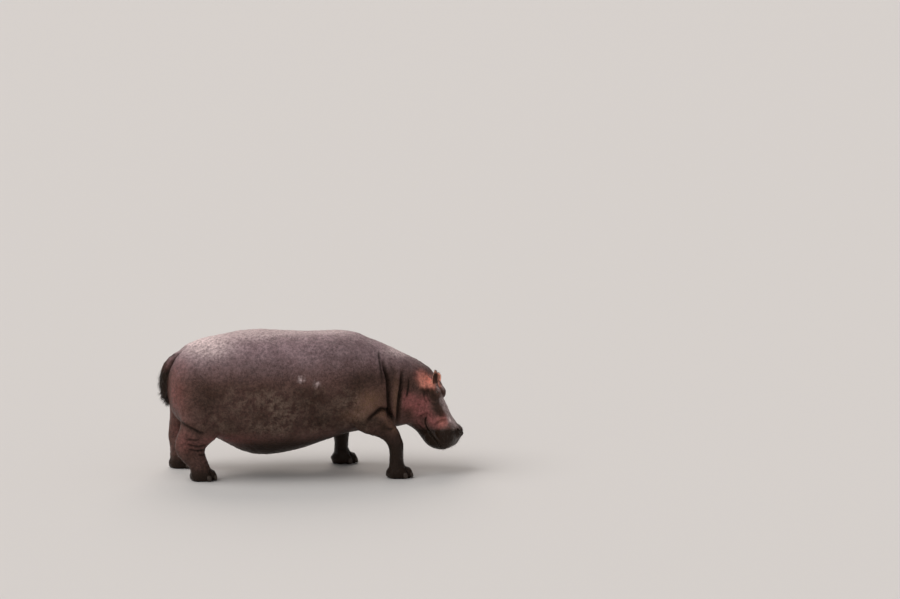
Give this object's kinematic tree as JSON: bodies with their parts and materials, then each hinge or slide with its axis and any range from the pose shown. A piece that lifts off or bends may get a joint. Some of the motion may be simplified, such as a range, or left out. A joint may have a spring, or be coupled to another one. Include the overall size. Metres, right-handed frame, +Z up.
{
  "type": "hippopotamus figure",
  "caption": "Life-size still model of a common hippopotamus, walking with its head lowered and standing on all four feet.",
  "frame": {"origin": "on the floor, under the middle of the model's box", "axes": "+X the way the animal walks, +Y to its left, +Z up"},
  "size_m": [3.0826, 1.0866, 1.4739],
  "materials": {
    "hide": "damp wrinkled hide with dried mud, lilac grey on the back and red brown below",
    "muzzle_hide": "wet dark hide with rose patches on cheek and lip",
    "pink_hide": "thin salmon pink skin with a dark cup",
    "tail_hide": "wet dark hide",
    "eye": "glossy wet dark brown",
    "nail_horn": "worn dark horn"
  },
  "bodies": {
    "root": {"trunk": "hide", "neck": "hide", "foreleg_left": "hide", "foreleg_right": "hide", "forefoot_left": "hide", "forefoot_right": "hide", "hindleg_left": "hide", "hindleg_right": "hide", "hindfoot_left": "hide", "hindfoot_right": "hide", "head": "muzzle_hide", "jaw": "muzzle_hide", "ear_left": "pink_hide", "ear_right": "pink_hide", "tail": "tail_hide", "eye_left": "eye", "eye_right": "eye", "nail_fore_left_1": "nail_horn", "nail_fore_left_2": "nail_horn", "nail_fore_left_3": "nail_horn", "nail_fore_left_4": "nail_horn", "nail_fore_right_1": "nail_horn", "nail_fore_right_2": "nail_horn", "nail_fore_right_3": "nail_horn", "nail_fore_right_4": "nail_horn", "nail_hind_left_1": "nail_horn", "nail_hind_left_2": "nail_horn", "nail_hind_left_3": "nail_horn", "nail_hind_left_4": "nail_horn", "nail_hind_right_1": "nail_horn", "nail_hind_right_2": "nail_horn", "nail_hind_right_3": "nail_horn", "nail_hind_right_4": "nail_horn"}
  },
  "joints": []
}
